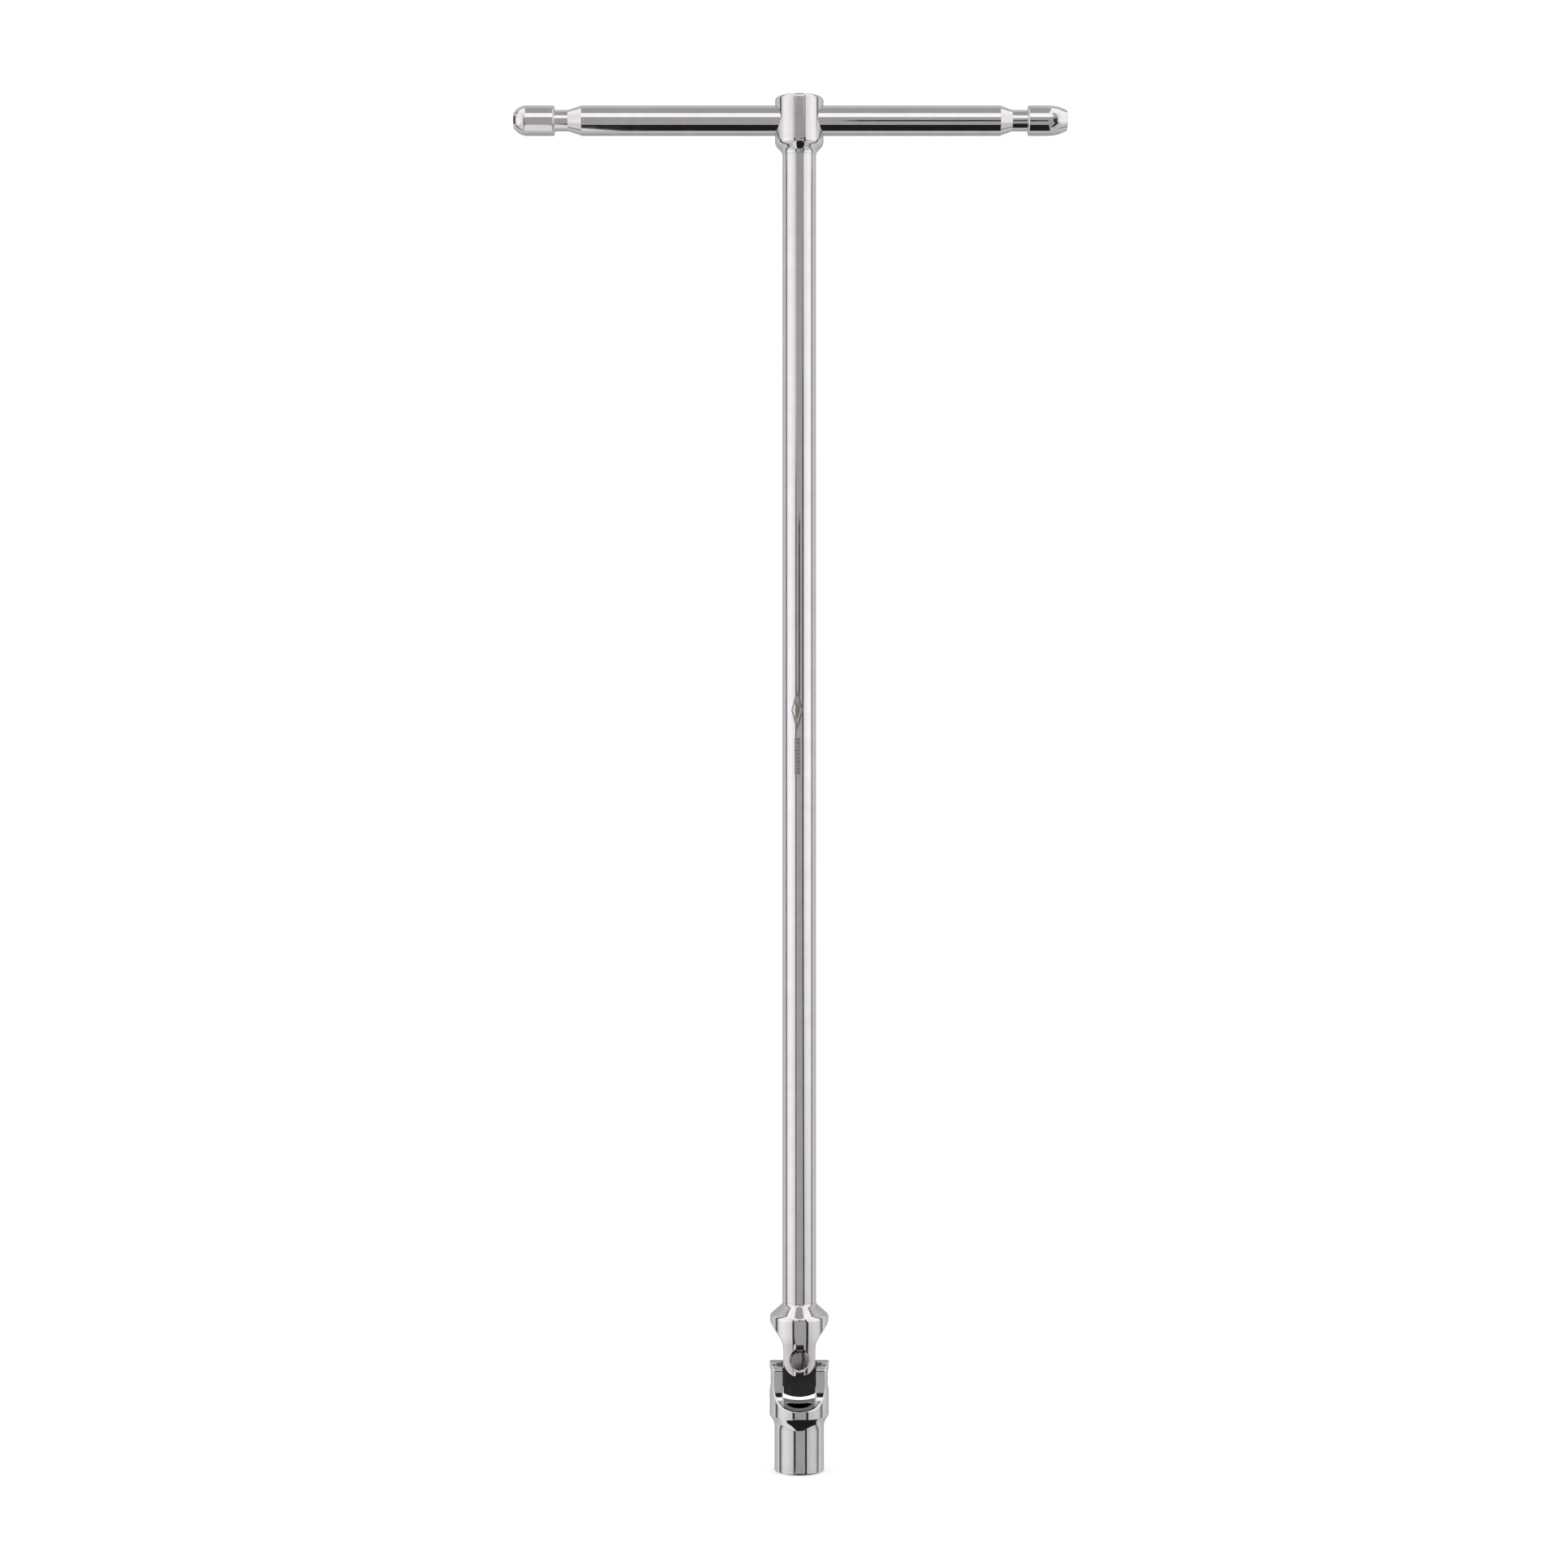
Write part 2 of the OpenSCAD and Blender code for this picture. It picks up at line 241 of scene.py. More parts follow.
def net(name, solid, low, high, step):
    """A closed mesh of a solid's surface, one vertex per crossed cell, with the surface's own normals."""
    margin = 2.5 * step
    origin = np.array(low) - margin
    counts = [math.ceil((b - a + 2 * margin) / step) + 1 for a, b in zip(low, high)]
    axes = [origin[i] + step * np.arange(counts[i]) for i in range(3)]
    field = solid(*np.meshgrid(*axes, indexing="ij"))
    cells = tuple(n - 1 for n in field.shape)
    rings, crossings, quads = [], [], []
    for axis in range(3):
        lower = field[tuple(slice(0, -1) if i == axis else slice(None) for i in range(3))]
        upper = field[tuple(slice(1, None) if i == axis else slice(None) for i in range(3))]
        start = np.argwhere((lower < 0) != (upper < 0))
        here = lower[tuple(start.T)]
        there = upper[tuple(start.T)]
        crossing = start.astype(float)
        crossing[:, axis] += here / (here - there)
        ring = []
        for db, dc in ((-1, -1), (0, -1), (0, 0), (-1, 0)):
            cell = start.copy()
            cell[:, (axis + 1) % 3] += db
            cell[:, (axis + 2) % 3] += dc
            ring.append(np.ravel_multi_index(cell.T, cells))
        ring = np.stack(ring, 1)
        quads.append(np.where((here > 0)[:, None], ring[:, ::-1], ring))
        rings.append(ring)
        crossings.append(np.repeat(crossing, 4, axis=0))
    _, which = np.unique(np.concatenate([r.ravel() for r in rings]), return_inverse=True)
    crossings = np.concatenate(crossings)
    number = np.bincount(which)
    middle = np.stack([np.bincount(which, crossings[:, i]) / number for i in range(3)], 1)
    used = np.unique(np.concatenate([r.ravel() for r in rings]))
    faces = np.searchsorted(used, np.concatenate(quads))
    verts = origin + step * middle
    for _ in range(6):
        value = np.clip(solid(*verts.T), -step / 2, step / 2)
        verts = verts - slope(solid, verts) * value[:, None]
    return mesh_object(name, verts, faces, slope(solid, verts))


def slope(solid, points, reach=2e-6):
    """Unit vectors out of the solid at points."""
    out = np.empty_like(points)
    for i in range(3):
        shift = np.zeros(3)
        shift[i] = reach
        out[:, i] = solid(*(points + shift).T) - solid(*(points - shift).T)
    return out / np.maximum(np.linalg.norm(out, axis=1), 1e-12)[:, None]


def turned(name, corners, axis, centre, sides=160, arc_step=math.radians(9)):
    """A lathed solid; its (radius, length) corners lie along axis, measured from centre."""
    samples = outline_samples(rounded(corners), arc_step)
    along = np.array(axis, float)
    across = np.array([0, 1, 0]) if along[1] == 0 else np.array([1, 0, 0])
    third = np.cross(along, across)
    verts, normals, rings = [], [], []
    for radius, length, nu, nv in samples:
        turns = 1 if radius < 1e-7 else sides
        rings.append(range(len(verts), len(verts) + turns))
        for i in range(turns):
            angle = math.tau * i / sides
            spoke = across * math.cos(angle) + third * math.sin(angle)
            verts.append(np.array(centre) + along * length + spoke * radius)
            normals.append(along * nv + (spoke * nu if turns > 1 else 0))
    faces = []
    for low, high in zip(rings, rings[1:]):
        for i in range(sides):
            j = (i + 1) % sides
            if len(low) == 1:
                faces.append((low[0], high[j], high[i]))
            elif len(high) == 1:
                faces.append((low[i], low[j], high[0]))
            else:
                faces.append((low[i], low[j], high[j], high[i]))
    return mesh_object(name, verts, faces, normals)


# ---------------------------------------------------------------- pieces
def crossbar():
    """Round bar with a detent neck, a cone and a differently shaped knob at each end."""
    left, right = BAR_LOW.x, BAR_HIGH.x
    neck_r = 3.25 * MM
    soft = 0.45 * MM
    crease = 0.15 * MM
    left_knob = left + 12.6 * MM
    left_neck = left_knob + 4.2 * MM
    left_cone = left_neck + 4.2 * MM
    right_knob = right - 12.1 * MM
    right_neck = right_knob - 4.8 * MM
    right_cone = right_neck - 3.7 * MM
    corners = [
        (0, left),
        (2.4 * MM, left, 0.5 * MM),
        (3.45 * MM, left + 1 * MM, 0.5 * MM),
        (BAR_R, left + 2.56 * MM, 4.6 * MM),
        (BAR_R, left_knob, soft),
        (neck_r, left_knob, crease),
        (neck_r, left_neck, crease),
        (BAR_R, left_cone, crease),
        (BAR_R, right_cone, crease),
        (neck_r, right_neck, crease),
        (neck_r, right_knob, crease),
        (BAR_R, right_knob, soft),
        (BAR_R, right - 4.4 * MM, 16 * MM),
        (4.15 * MM, right - 2.45 * MM, 0.25 * MM),
        (3.1 * MM, right, 0.25 * MM),
        (0, right),
    ]
    made = turned("crossbar_rod", corners, (1, 0, 0), (0, 0, BAR_Z))
    made.data.materials.append(chrome("chrome_on_turned_bar", grain=(260, 2600, 2600)))
    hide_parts("t_bar")
    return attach(made, "crossbar")


def shank():
    """Plain rod with a turned-down spigot at each end and the detent bore in its top."""
    low, high = SHANK_LOW.z, SHANK_HIGH.z
    bore_floor = SPRING_LOW.z - 0.02 * MM
    corners = [
        (0, low),
        (FORK_SPIGOT_R, low, EDGE),
        (FORK_SPIGOT_R, YOKE_HIGH.z, FINE_EDGE),
        (SHANK_R, YOKE_HIGH.z, FINE_EDGE / 4),
        (SHANK_R, HUB_LOW.z, FINE_EDGE / 4),
        (SPIGOT_R, HUB_LOW.z, FINE_EDGE),
        (SPIGOT_R, high, EDGE),
        (DETENT_BORE_R, high, FINE_EDGE),
        (DETENT_BORE_R, bore_floor, EDGE),
        (0, bore_floor),
    ]
    made = turned("shank_rod", corners, (0, 0, 1), (0, 0, 0), sides=192)
    made.data.materials.append(chrome("chrome_on_shank", grain=(2200, 2200, 220), marked=True))
    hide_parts("shank")
    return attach(made, "handle")


def head():
    """Post with a cone below, cross bored for the crossbar and bored from below for the detent."""
    top, seat = HUB_HIGH.z, HUB_LOW.z
    fillet = 2.5 * MM
    cone_z = seat + fillet * math.tan(HALF_RIGHT_ANGLE)
    profile = rounded([
        (0, seat),
        (SHANK_R, seat),
        (SHANK_R, cone_z, fillet),
        (HUB_R, cone_z + HUB_R - SHANK_R, 2.6 * MM),
        (HUB_R, top, 1 * MM),
        (0, top),
    ])

    def solid(x, y, z):
        round_z = np.hypot(x, y)
        round_bar = np.hypot(y, z - BAR_Z)
        mouth = (round_bar - BAR_R - (np.abs(x) - HUB_R + 0.5 * MM)) * ROOT_HALF
        bore = join(round_bar - BAR_R - FIT_GAP, mouth, FINE_EDGE)
        body = cut(outline_distance(profile, round_z, z), bore, FINE_EDGE)
        body = cut(body, meet(round_z - SPIGOT_R, z - seat - SPIGOT_LEN, EDGE), FINE_EDGE)
        return cut(body, meet(round_z - DETENT_BORE_R, z - BAR_Z, EDGE), FINE_EDGE)

    made = net("head_post", solid, HUB_LOW, HUB_HIGH, 0.2 * MM)
    made.data.materials.append(chrome("chrome_on_head", grain=(1500, 1500, 1500)))
    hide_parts("hub")
    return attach(made, "handle")


def upper_fork():
    """Turned cone and body, milled to a waist at the sides and slotted along X."""
    top = YOKE_HIGH.z
    ear_r = UPPER_PIN_Z - YOKE_LOW.z
    waist_lean = math.radians(38)
    waist_r = 6.3 * MM
    waist_z = 38.35 * MM + waist_r * math.tan(waist_lean / 2)
    hip_z = waist_z + (JOINT_R - ear_r) / math.tan(waist_lean)
    taper_z = 41 * MM
    taper = math.tan(math.radians(4))
    fillet = 1.2 * MM
    cone_top = top - fillet * math.tan(FORK_CONE / 2)
    beyond = 1 * MM
    low = YOKE_LOW.z - beyond
    profile = rounded([
        (0, low),
        (JOINT_R - (taper_z - low) * taper, low),
        (JOINT_R, taper_z, 40 * MM),
        (JOINT_R, cone_top - (JOINT_R - SHANK_R) / math.tan(FORK_CONE), 1.8 * MM),
        (SHANK_R, cone_top, fillet),
        (SHANK_R, top),
        (0, top),
    ])
    sides = rounded([
        (0, YOKE_LOW.z),
        (ear_r, YOKE_LOW.z, ear_r * 0.9999),
        (ear_r, waist_z, waist_r),
        (JOINT_R, hip_z, 3 * MM),
        (JOINT_R, top + beyond),
        (0, top + beyond),
    ])
    floor_z = UPPER_PIN_Z + SLOT_DEPTH
    pin_face_r = JOINT_R - (taper_z - UPPER_PIN_Z) * taper

    def solid(x, y, z):
        round_z = np.hypot(x, y)
        blank = outline_distance(profile, round_z, z)
        body = meet(blank, outline_distance(sides, np.abs(x), z), EDGE)
        body = cut(body, slot(y, floor_z - z, EDGE), EDGE)
        body = cut(body, pin_hole(y, np.hypot(x, z - UPPER_PIN_Z), pin_face_r), FINE_EDGE)
        return cut(body, meet(round_z - FORK_SPIGOT_R, top - FORK_SPIGOT_LEN - z, EDGE), FINE_EDGE)

    made = net("upper_fork", solid, YOKE_LOW, YOKE_HIGH, 0.2 * MM)
    made.data.materials.append(chrome("chrome_on_upper_fork", grain=(1200, 1200, 1200)))
    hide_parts("yoke")
    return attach(made, "handle")


def lower_fork():
    """One turned blank: hex socket below, and ears above, scooped front and back and slotted along Y."""
    barrel_r = 7.6 * MM
    step_z = 17.2 * MM
    step_h = 1.4 * MM
    step_w = 0.9 * MM
    ear_half = 4.5 * MM
    ear_end_r = SOCKET_HIGH.z - LOWER_PIN_Z
    scoop_r = 7.5 * MM
    scoop_low = 19.7 * MM
    beyond = 1 * MM
    profile = rounded([
        (0, 0),
        (barrel_r, 0, 0.55 * MM),
        (barrel_r, step_z - step_h / step_w * (JOINT_R - barrel_r), 4.5 * MM),
        (JOINT_R, step_z, EDGE),
        (JOINT_R, SOCKET_HIGH.z + beyond),
        (0, SOCKET_HIGH.z + beyond),
    ])
    turn = math.acos((ear_half + scoop_r - JOINT_R) / scoop_r)
    corner_z = scoop_low + scoop_r * (math.sin(turn) - math.tan(turn / 2))
    fall = (corner_z - scoop_low) / (JOINT_R - ear_half)
    sides = rounded([
        (0, -beyond),
        (JOINT_R + beyond, -beyond),
        (JOINT_R + beyond, scoop_low - fall * beyond),
        (ear_half, corner_z, scoop_r),
        (ear_half, SOCKET_HIGH.z + beyond),
        (0, SOCKET_HIGH.z + beyond),
    ])
    hex_half = 5.05 * MM
    hex_depth = 9 * MM
    lead_in_r = 6.2 * MM
    through_r = 4 * MM
    hex_turns = [math.radians(30 + 60 * i) for i in range(3)]

    def bore(x, y, z, round_z):
        flats = [np.abs(x * math.cos(a) + y * math.sin(a)) - hex_half for a in hex_turns]
        hexagon = meet(meet(flats[0], flats[1], EDGE), flats[2], EDGE)
        hexagon = meet(hexagon, z - hex_depth, FINE_EDGE)
        through = meet(round_z - through_r, z - LOWER_PIN_Z, EDGE)
        lead_in = (round_z - lead_in_r + z) * ROOT_HALF
        return join(join(hexagon, through, FINE_EDGE), lead_in, FINE_EDGE)

    def solid(x, y, z):
        round_z = np.hypot(x, y)
        blank = outline_distance(profile, round_z, z)
        body = meet(blank, outline_distance(sides, np.abs(y), z), EDGE)
        ear_end = np.hypot(y, z - LOWER_PIN_Z) - ear_end_r
        body = meet(body, np.minimum(ear_end, z - LOWER_PIN_Z), EDGE)
        body = cut(body, slot(x, z - LOWER_PIN_Z + SLOT_DEPTH, EDGE), EDGE)
        body = cut(body, pin_hole(x, np.hypot(y, z - LOWER_PIN_Z), JOINT_R), FINE_EDGE)
        return cut(body, bore(x, y, z, round_z), FINE_EDGE)

    made = net("lower_fork_socket", solid, SOCKET_LOW, SOCKET_HIGH, 0.2 * MM)
    made.data.materials.append(chrome("chrome_on_socket", grain=(1200, 1200, 1200)))
    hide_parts("socket")
    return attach(made, "driver")


def joint_block():
    """Square bar between the forks, with two crossed pin holes and two rounded ends."""
    low_axis = BLOCK_LOW.z + BLOCK_END_R
    high_axis = BLOCK_HIGH.z - BLOCK_END_R
    bore_r = PIN_R + FIT_GAP

    def solid(x, y, z):
        body = meet(np.abs(x) - BLOCK_HALF, np.abs(y) - BLOCK_HALF, EDGE)
        body = meet(body, np.hypot(x, np.maximum(low_axis - z, 0)) - BLOCK_END_R, EDGE)
        body = meet(body, np.hypot(y, np.maximum(z - high_axis, 0)) - BLOCK_END_R, EDGE)
        body = cut(body, np.hypot(x, z - UPPER_PIN_Z) - bore_r, FINE_EDGE)
        return cut(body, np.hypot(y, z - LOWER_PIN_Z) - bore_r, FINE_EDGE)

    made = net("joint_block", solid, BLOCK_LOW, BLOCK_HIGH, 0.2 * MM)
    made.data.materials.append(phosphate())
    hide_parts("cross_block")
    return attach(made, "block")


def joint_pin(name, node, body, axis, centre_z):
    """Headless pin with two broken edges and slightly crowned turned ends."""
    low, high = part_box(node)
    half = max(high - low) / 2
    bevel = 0.25 * MM
    soft = 0.1 * MM
    crown_r = 12 * MM
    fall = math.asin((PIN_R - bevel) / crown_r)
    crown = (crown_r * math.tan(fall / 2), half, crown_r * 0.999)
    rim = (PIN_R - bevel, half - crown_r * (1 - math.cos(fall)), soft)
    side = (PIN_R, rim[1] - bevel, soft)
    end = [side, rim, crown, (0, half, 0)]
    corners = [(u, -v, radius) for u, v, radius in end[::-1]] + end
    made = turned(name, corners, axis, (0, 0, centre_z), sides=96)
    made.data.materials.append(pin_steel(name + "_steel", axis, centre_z))
    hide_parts(node)
    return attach(made, body)


def spring():
    """Round wire wound to a helix, with a hemispherical tip at each end."""
    wire_r = 0.3 * MM
    coil_r = (SPRING_HIGH.x - SPRING_LOW.x) / 2 - wire_r
    turns, per_turn, sides = 7, 40, 12
    low, high = SPRING_LOW.z + wire_r, SPRING_HIGH.z - wire_r
    steps = turns * per_turn
    tip_steps = 4
    verts, faces = [], []
    tips = [(math.sin(math.pi / 2 * i / tip_steps), i) for i in range(1, tip_steps)]
    stations = [(0, s) for s, _ in tips] + [(i, 1) for i in range(steps + 1)]
    stations += [(steps, s) for s, _ in reversed(tips)]
    for order, (i, share) in enumerate(stations):
        angle = math.tau * i / per_turn
        middle = Vector((coil_r * math.cos(angle), coil_r * math.sin(angle), 0))
        middle.z = low + (high - low) * i / steps
        along = Vector((-math.sin(angle), math.cos(angle), 0))
        end = -1 if order < tip_steps - 1 else 1 if order > tip_steps + steps - 1 else 0
        middle += along * end * wire_r * math.sqrt(1 - share ** 2)
        for k in range(sides):
            side = math.tau * k / sides
            out = Vector((math.cos(angle), math.sin(angle), 0)) * math.cos(side)
            verts.append(middle + (out + Vector((0, 0, math.sin(side)))) * wire_r * share)
    for ring in range(len(stations) - 1):
        for k in range(sides):
            a, b = ring * sides + k, ring * sides + (k + 1) % sides
            faces.append((a, a + sides, b + sides, b))
    faces.append(tuple(range(sides)))
    faces.append(tuple(reversed(range(len(verts) - sides, len(verts)))))
    made = mesh_object("detent_spring_wire", verts, faces)
    made.data.materials.append(drawn_wire())
    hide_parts("detent_spring")
    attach(made, "handle")
    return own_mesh(made)


def detent_ball():
    """The CAD's own ball, which is as round as it has to be, in ground steel."""
    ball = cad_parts["detent_ball"]
    ball.data.materials.clear()
    ball.data.materials.append(ground_ball())


# ---------------------------------------------------------------- materials
def make_node(tree, kind, sockets=None, **settings):
    """A node with its settings, and with each socket given a value or a link."""
    made = tree.nodes.new(kind)
    for key, value in settings.items():
        setattr(made, key, value)
    for key, value in (sockets or {}).items():
        if isinstance(value, bpy.types.NodeSocket):
            tree.links.new(value, made.inputs[key])
        else:
            made.inputs[key].default_value = value
    return made


def new_material(name):
    """(node tree, principled shader, object coordinates) of a fresh material."""
    made = bpy.data.materials.new(name)
    made.use_nodes = True
    tree = made.node_tree
    shader = tree.nodes["Principled BSDF"]
    place = make_node(tree, "ShaderNodeTexCoord").outputs["Object"]
    return made, tree, shader, place


def noise(tree, place, scale, detail=3, stretch=None):
    """Noise from 0 to 1 with about scale cells to the metre."""
    if stretch is not None:
        place = make_node(tree, "ShaderNodeMapping", {"Vector": place, "Scale": stretch})
        place = place.outputs["Vector"]
    sockets = {"Vector": place, "Scale": scale, "Detail": detail, "Roughness": 0.55}
    return make_node(tree, "ShaderNodeTexNoise", sockets).outputs["Fac"]


def ramp(tree, value, low, high, to_low=0.0, to_high=1.0, smooth=False):
    """value from low..high carried to to_low..to_high, and held there beyond."""
    sockets = {"Value": value, "From Min": low, "From Max": high}
    sockets.update({"To Min": to_low, "To Max": to_high})
    kind = "SMOOTHSTEP" if smooth else "LINEAR"
    return make_node(tree, "ShaderNodeMapRange", sockets, interpolation_type=kind).outputs["Result"]


def maths(tree, operation, a, b=0.0):
    """One step of arithmetic on one or two numbers."""
    made = make_node(tree, "ShaderNodeMath", {0: a, 1: b}, operation=operation)
    return made.outputs[0]


def blend_colour(tree, share, first, second):
    """first where share is 0, second where it is 1; each is a colour or a link."""
    sockets = {0: share, 6: (*first, 1) if isinstance(first, tuple) else first}
    sockets[7] = (*second, 1) if isinstance(second, tuple) else second
    made = make_node(tree, "ShaderNodeMix", sockets, data_type="RGBA")
    return made.outputs[2]


def bump(tree, height, distance, normal=None):
    """A normal tilted by a height map that is distance metres deep."""
    sockets = {"Height": height, "Distance": distance, "Strength": 1.0}
    if normal is not None:
        sockets["Normal"] = normal
    return make_node(tree, "ShaderNodeBump", sockets).outputs["Normal"]


def within(tree, value, low, high, soft):
    """1 where value is between low and high, falling to 0 over soft at each side."""
    rise = ramp(tree, value, low - soft, low + soft, smooth=True)
    fall = ramp(tree, value, high - soft, high + soft, 1.0, 0.0, smooth=True)
    return maths(tree, "MULTIPLY", rise, fall)


def etched_mark(tree, place):
    """A plain generic mark, lasered on the front of the shank: a lozenge over a row of dashes."""
    parts = make_node(tree, "ShaderNodeSeparateXYZ", {"Vector": place}).outputs
    middle_x = -0.6 * MM
    soft = 0.05 * MM
    lozenge_z, lozenge_w, lozenge_h = 233.2 * MM, 1.9 * MM, 6.2 * MM
    dashes_low, dashes_high, dash_pitch = 213.6 * MM, 224.8 * MM, 1.12 * MM
    dash_half = 0.85 * MM
    off_x = maths(tree, "ABSOLUTE", maths(tree, "SUBTRACT", parts["X"], middle_x))
    off_z = maths(tree, "ABSOLUTE", maths(tree, "SUBTRACT", parts["Z"], lozenge_z))
    spread = maths(tree, "ADD", maths(tree, "DIVIDE", off_x, lozenge_w),
                   maths(tree, "DIVIDE", off_z, lozenge_h))
    rim = within(tree, spread, 0.72, 1.0, 0.03)
    core = ramp(tree, spread, 0.38, 0.44, 1.0, 0.0)
    lozenge = maths(tree, "MAXIMUM", rim, core)
    phase = maths(tree, "PINGPONG", maths(tree, "SUBTRACT", parts["Z"], dashes_low), dash_pitch / 2)
    dash = within(tree, phase, 0.12 * MM, 0.5 * MM, soft)
    column = within(tree, off_x, -1.0, dash_half, soft)
    stretch = within(tree, parts["Z"], dashes_low, dashes_high, soft)
    dashes = maths(tree, "MULTIPLY", maths(tree, "MULTIPLY", dash, column), stretch)
    front = ramp(tree, parts["Y"], -0.1 * MM, 0.0, 1.0, 0.0)
    speckle = ramp(tree, noise(tree, place, 4200, 2), 0.3, 0.5)
    mark = maths(tree, "MAXIMUM", lozenge, dashes)
    return maths(tree, "MULTIPLY", maths(tree, "MULTIPLY", mark, front), speckle)


def chrome(name, grain, marked=False):
    """Bright chrome plate: faint haze, polishing grain along the turned surface, slow ripples."""
    made, tree, shader, place = new_material(name)
    haze = noise(tree, place, 210, 4)
    lines = noise(tree, place, 1.0, 4, stretch=grain)
    ripple = noise(tree, place, 95, 1)
    colour = blend_colour(tree, ramp(tree, haze, 0.3, 0.7), (0.60, 0.578, 0.598), (0.65, 0.628, 0.65))
    polish = ramp(tree, haze, 0.35, 0.7, 0.04, 0.075)
    roughness = maths(tree, "ADD", polish, ramp(tree, lines, 0.45, 0.75, 0.0, 0.035))
    normal = bump(tree, ripple, 0.02 * MM)
    normal = bump(tree, lines, 0.0005 * MM, normal)
    if marked:
        mark = etched_mark(tree, place)
        colour = blend_colour(tree, mark, colour, (0.24, 0.19, 0.165))
        roughness = maths(tree, "ADD", roughness, maths(tree, "MULTIPLY", mark, 0.4))
        normal = bump(tree, mark, -0.01 * MM, normal)
    shader.inputs["Metallic"].default_value = 1.0
    shader.inputs["IOR"].default_value = 2.5
    tree.links.new(colour, shader.inputs["Base Color"])
    tree.links.new(roughness, shader.inputs["Roughness"])
    tree.links.new(normal, shader.inputs["Normal"])
    return made


def phosphate():
    """Matt black phosphate on steel: fine crystals, a little rubbed brighter in patches."""
    made, tree, shader, place = new_material("black_phosphate")
    crystals = noise(tree, place, 5200, 5)
    patches = noise(tree, place, 420, 4)
    rubbed = ramp(tree, patches, 0.52, 0.75)
    colour = blend_colour(tree, rubbed, (0.008, 0.008, 0.009), (0.018, 0.018, 0.02))
    roughness = ramp(tree, crystals, 0.3, 0.7, 0.5, 0.68)
    tree.links.new(colour, shader.inputs["Base Color"])
    tree.links.new(roughness, shader.inputs["Roughness"])
    tree.links.new(bump(tree, crystals, 0.006 * MM), shader.inputs["Normal"])
    shader.inputs["Metallic"].default_value = 0.0
    shader.inputs["Specular IOR Level"].default_value = 0.35
    return made


def pin_steel(name, axis, centre_z):
    """Dull hardened steel: turning rings on the end faces, heat colour and a dark smear of grease."""
    made, tree, shader, place = new_material(name)
    centre = (0, 0, -centre_z)
    local = make_node(tree, "ShaderNodeMapping", {"Vector": place, "Location": centre})
    local = local.outputs["Vector"]
    sockets = {"Vector": local, "Scale": 1150.0, "Distortion": 1.2, "Detail": 2.0}
    letter = "XYZ"[axis.index(1)]
    rings = make_node(tree, "ShaderNodeTexWave", sockets, wave_type="RINGS",
                      rings_direction=letter).outputs["Fac"]
    smear = noise(tree, local, 1.0, 3, stretch=(900, 900, 170))
    patches = noise(tree, local, 700, 4)
    colour = blend_colour(tree, ramp(tree, patches, 0.3, 0.7), (0.34, 0.30, 0.285), (0.44, 0.40, 0.385))
    colour = blend_colour(tree, ramp(tree, smear, 0.5, 0.62), colour, (0.09, 0.08, 0.08))
    roughness = ramp(tree, patches, 0.3, 0.7, 0.26, 0.42)
    normal = bump(tree, rings, 0.004 * MM)
    shader.inputs["Metallic"].default_value = 1.0
    tree.links.new(colour, shader.inputs["Base Color"])
    tree.links.new(roughness, shader.inputs["Roughness"])
    tree.links.new(bump(tree, patches, 0.006 * MM, normal), shader.inputs["Normal"])
    return made


def drawn_wire():
    """Bright spring wire with drawing lines and a film of oil."""
    made, tree, shader, place = new_material("spring_wire")
    lines = noise(tree, place, 1.0, 4, stretch=(900, 900, 9000))
    colour = blend_colour(tree, lines, (0.36, 0.35, 0.35), (0.5, 0.49, 0.5))
    shader.inputs["Metallic"].default_value = 1.0
    tree.links.new(colour, shader.inputs["Base Color"])
    tree.links.new(ramp(tree, lines, 0.3, 0.7, 0.22, 0.36), shader.inputs["Roughness"])
    tree.links.new(bump(tree, lines, 0.004 * MM), shader.inputs["Normal"])
    return made


def ground_ball():
    """Ground and polished bearing steel with faint handling marks."""
    made, tree, shader, place = new_material("ground_ball_steel")
    marks = noise(tree, place, 1800, 5)
    colour = blend_colour(tree, marks, (0.55, 0.55, 0.57), (0.63, 0.63, 0.65))
    shader.inputs["Metallic"].default_value = 1.0
    tree.links.new(colour, shader.inputs["Base Color"])
    tree.links.new(ramp(tree, marks, 0.4, 0.7, 0.1, 0.18), shader.inputs["Roughness"])
    tree.links.new(bump(tree, marks, 0.001 * MM), shader.inputs["Normal"])
    return made


# ---------------------------------------------------------------- studio
ROOF_Z = 1.6
TALL = (-ROOF_Z, ROOF_Z)
BLACK = 0.02


def stepped(tree, value, stops):
    """A number that changes in straight steps with value: stops are (value, number)."""
    total = stops[0][1]
    for (v0, n0), (v1, n1) in zip(stops, stops[1:]):
        total = maths(tree, "ADD", ramp(tree, value, v0, v1, 0.0, n1 - n0), total)
    return total


def glow(name, by_height, by_turn=None):
    """Light whose radiance changes with height, and by a factor with the turn from the camera's side."""
    made = bpy.data.materials.new(name)
    made.use_nodes = True
    tree = made.node_tree
    tree.nodes.clear()
    place = make_node(tree, "ShaderNodeNewGeometry").outputs["Position"]
    parts = make_node(tree, "ShaderNodeSeparateXYZ", {"Vector": place}).outputs
    radiance = stepped(tree, parts["Z"], by_height)
    if by_turn is not None:
        ahead = maths(tree, "MULTIPLY", parts["Y"], -1.0)
        turn = maths(tree, "ABSOLUTE", maths(tree, "ARCTAN2", parts["X"], ahead))
        turn = maths(tree, "DEGREES", turn)
        radiance = maths(tree, "MULTIPLY", radiance, stepped(tree, turn, by_turn))
    light = make_node(tree, "ShaderNodeEmission", {"Strength": radiance})
    out = make_node(tree, "ShaderNodeOutputMaterial")
    tree.links.new(light.outputs[0], out.inputs["Surface"])
    made.cycles.emission_sampling = "NONE"
    return made


